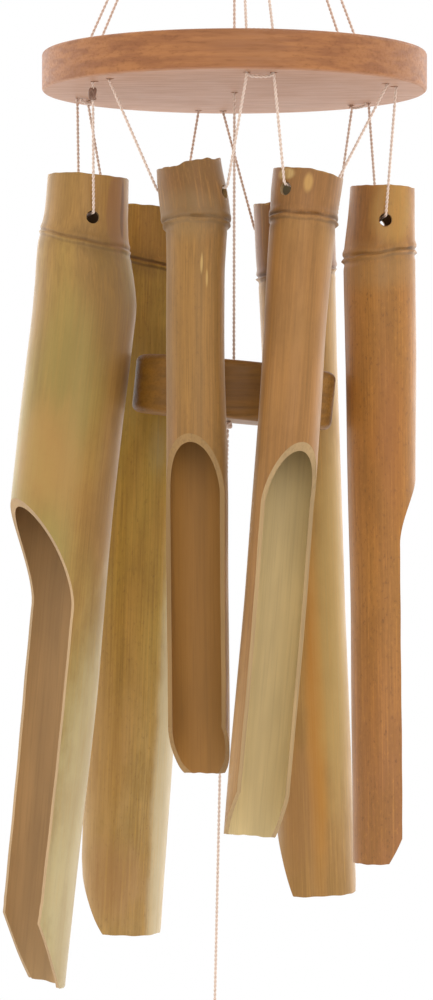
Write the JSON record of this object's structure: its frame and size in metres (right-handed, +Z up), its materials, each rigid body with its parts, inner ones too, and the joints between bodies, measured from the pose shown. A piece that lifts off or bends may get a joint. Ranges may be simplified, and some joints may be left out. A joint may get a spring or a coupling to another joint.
{
  "type": "wind chime",
  "caption": "Hanging wind chime with cut bamboo tubes slung from a round wooden plate, a wooden striker on a centre cord and a flat wooden wind sail below.",
  "frame": {"origin": "centre of the hanging ring at the top, which a hook goes through", "axes": "+Z up, -Y the front, +Y along the ring's axis, +X to the right seen from the front"},
  "size_m": [0.1651, 0.1538, 0.5962],
  "materials": {
    "ring_steel": "satin",
    "twine": "twisted, matt",
    "whipping_twine": "wrapped, matt",
    "waxed_twine": "dark, waxed",
    "plate_wood": "sanded, satin",
    "striker_wood": "sanded, satin",
    "sail_wood": "sanded, satin",
    "bamboo_left": "natural skin, satin",
    "bamboo_back_left": "natural skin, satin",
    "bamboo_front_left": "smoked skin, satin",
    "bamboo_front_right": "smoked skin, satin",
    "bamboo_back_right": "natural skin, satin",
    "bamboo_right": "smoked skin, satin"
  },
  "bodies": {
    "ring": {"hanging_ring": "ring_steel"},
    "ring_loop": {"ring_loop": "twine"},
    "loop_legs": {"loop_leg_front": "twine", "loop_leg_back": "twine", "loop_knot": "twine"},
    "plate": {"gather_knot": "whipping_twine", "hanger_cord_front": "twine", "hanger_cord_right": "twine", "hanger_cord_left": "twine", "centre_cord_upper": "twine", "top_plate": "plate_wood", "top_stitch_1": "twine", "top_stitch_2": "twine", "top_stitch_3": "twine", "top_stitch_4": "twine", "top_stitch_5": "twine", "top_stitch_6": "twine"},
    "cord_left": {"tube_cord_left": "twine", "tie_knot": "waxed_twine"},
    "tube_left": {"bamboo_left": "bamboo_left"},
    "cord_back_left": {"tube_cord_back_left": "twine"},
    "tube_back_left": {"bamboo_back_left": "bamboo_back_left"},
    "cord_front_left": {"tube_cord_front_left": "twine"},
    "tube_front_left": {"bamboo_front_left": "bamboo_front_left"},
    "cord_front_right": {"tube_cord_front_right": "twine"},
    "tube_front_right": {"bamboo_front_right": "bamboo_front_right"},
    "cord_back_right": {"tube_cord_back_right": "twine"},
    "tube_back_right": {"bamboo_back_right": "bamboo_back_right"},
    "cord_right": {"tube_cord_right": "twine"},
    "tube_right": {"bamboo_right": "bamboo_right"},
    "striker_bend": {"striker_cord_bend": "twine"},
    "striker_line": {"striker_cord": "twine"},
    "striker": {"striker": "striker_wood", "striker_core_cord": "twine", "striker_knot": "twine"},
    "sail_bend": {"sail_cord_bend": "twine"},
    "sail_line": {"sail_cord": "twine"},
    "sail_swivel": {"sail_knot": "twine", "sail_loop": "twine"},
    "sail": {"sail": "sail_wood"}
  },
  "joints": [
    {"name": "side_swing", "type": "hinge", "parent": "ring", "child": "ring_loop", "pos_m": [0, 0, 0], "axis": [0, 1, 0], "range_deg": [-18, 18]},
    {"name": "fore_swing", "type": "hinge", "parent": "ring_loop", "child": "loop_legs", "pos_m": [0, 0, -0.0095], "axis": [1, 0, 0], "range_deg": [-18, 18]},
    {"name": "plate_twist", "type": "hinge", "parent": "loop_legs", "child": "plate", "pos_m": [0, 0, -0.0201], "axis": [0, 0, 1], "range_deg": [-60, 60]},
    {"name": "left_cord_swing", "type": "hinge", "parent": "plate", "child": "cord_left", "pos_m": [-0.058, -0.00846, -0.166], "axis": [-0.1444, 0.9895, 0], "range_deg": [-0.5, 12]},
    {"name": "left_tube_rock", "type": "hinge", "parent": "cord_left", "child": "tube_left", "pos_m": [-0.0575, -0.0082, -0.2148], "axis": [0.1986, -0.9801, -0.0051], "range_deg": [-12, 1]},
    {"name": "back_left_cord_swing", "type": "hinge", "parent": "plate", "child": "cord_back_left", "pos_m": [-0.03633, 0.046, -0.166], "axis": [0.7848, 0.6198, 0], "range_deg": [-0.5, 12]},
    {"name": "back_left_tube_rock", "type": "hinge", "parent": "cord_back_left", "child": "tube_back_left", "pos_m": [-0.0362, 0.0473, -0.2149], "axis": [-0.7843, -0.6201, 0.0152], "range_deg": [-12, 1]},
    {"name": "front_left_cord_swing", "type": "hinge", "parent": "plate", "child": "cord_front_left", "pos_m": [-0.02167, -0.05446, -0.166], "axis": [-0.9291, 0.3697, 0], "range_deg": [-0.5, 12]},
    {"name": "front_left_tube_rock", "type": "hinge", "parent": "cord_front_left", "child": "tube_front_left", "pos_m": [-0.0161, -0.0551, -0.2087], "axis": [0.9291, -0.3696, 0.0152], "range_deg": [-12, 1]},
    {"name": "front_right_cord_swing", "type": "hinge", "parent": "plate", "child": "cord_front_right", "pos_m": [0.03633, -0.046, -0.166], "axis": [-0.7848, -0.6198, 0], "range_deg": [-0.5, 12]},
    {"name": "front_right_tube_rock", "type": "hinge", "parent": "cord_front_right", "child": "tube_front_right", "pos_m": [0.0269, -0.0508, -0.2089], "axis": [0.6137, 0.7807, -0.1179], "range_deg": [-12, 0.3]},
    {"name": "back_right_cord_swing", "type": "hinge", "parent": "plate", "child": "cord_back_right", "pos_m": [0.02167, 0.05446, -0.166], "axis": [0.9291, -0.3697, 0], "range_deg": [-0.5, 12]},
    {"name": "back_right_tube_rock", "type": "hinge", "parent": "cord_back_right", "child": "tube_back_right", "pos_m": [0.0248, 0.0541, -0.2145], "axis": [-0.9286, 0.37, -0.0298], "range_deg": [-12, 1]},
    {"name": "right_cord_swing", "type": "hinge", "parent": "plate", "child": "cord_right", "pos_m": [0.058, 0.00846, -0.166], "axis": [0.1444, -0.9895, 0], "range_deg": [-0.5, 12]},
    {"name": "right_tube_rock", "type": "hinge", "parent": "cord_right", "child": "tube_right", "pos_m": [0.0578, 0.0078, -0.2146], "axis": [-0.0698, 0.9974, -0.0198], "range_deg": [-12, 1]},
    {"name": "striker_fore_swing", "type": "hinge", "parent": "plate", "child": "striker_bend", "pos_m": [0, 0, -0.166], "axis": [1, 0, 0], "range_deg": [-1.2, 1.2]},
    {"name": "striker_side_swing", "type": "hinge", "parent": "striker_bend", "child": "striker_line", "pos_m": [-0.00001, 0, -0.17035], "axis": [0, 1, 0], "range_deg": [-1.2, 1.2]},
    {"name": "striker_tilt", "type": "hinge", "parent": "striker_line", "child": "striker", "pos_m": [-0.00022, 0, -0.2717], "axis": [0, 1, 0], "range_deg": [-8, 2.5]},
    {"name": "sail_fore_swing", "type": "hinge", "parent": "striker", "child": "sail_bend", "pos_m": [-0.00268, 0, -0.29728], "axis": [1, 0, 0], "range_deg": [-6, 6]},
    {"name": "sail_side_swing", "type": "hinge", "parent": "sail_bend", "child": "sail_line", "pos_m": [-0.0028, 0, -0.30162], "axis": [0, -1, 0], "range_deg": [-6, 6]},
    {"name": "sail_spin", "type": "hinge", "parent": "sail_line", "child": "sail_swivel", "pos_m": [-0.0077, 0, -0.5227], "axis": [0, 0, 1], "range_deg": [-180, 180]},
    {"name": "sail_rock", "type": "hinge", "parent": "sail_swivel", "child": "sail", "pos_m": [-0.0077, 0, -0.5317], "axis": [0, 1, 0], "range_deg": [-20, 20]}
  ]
}
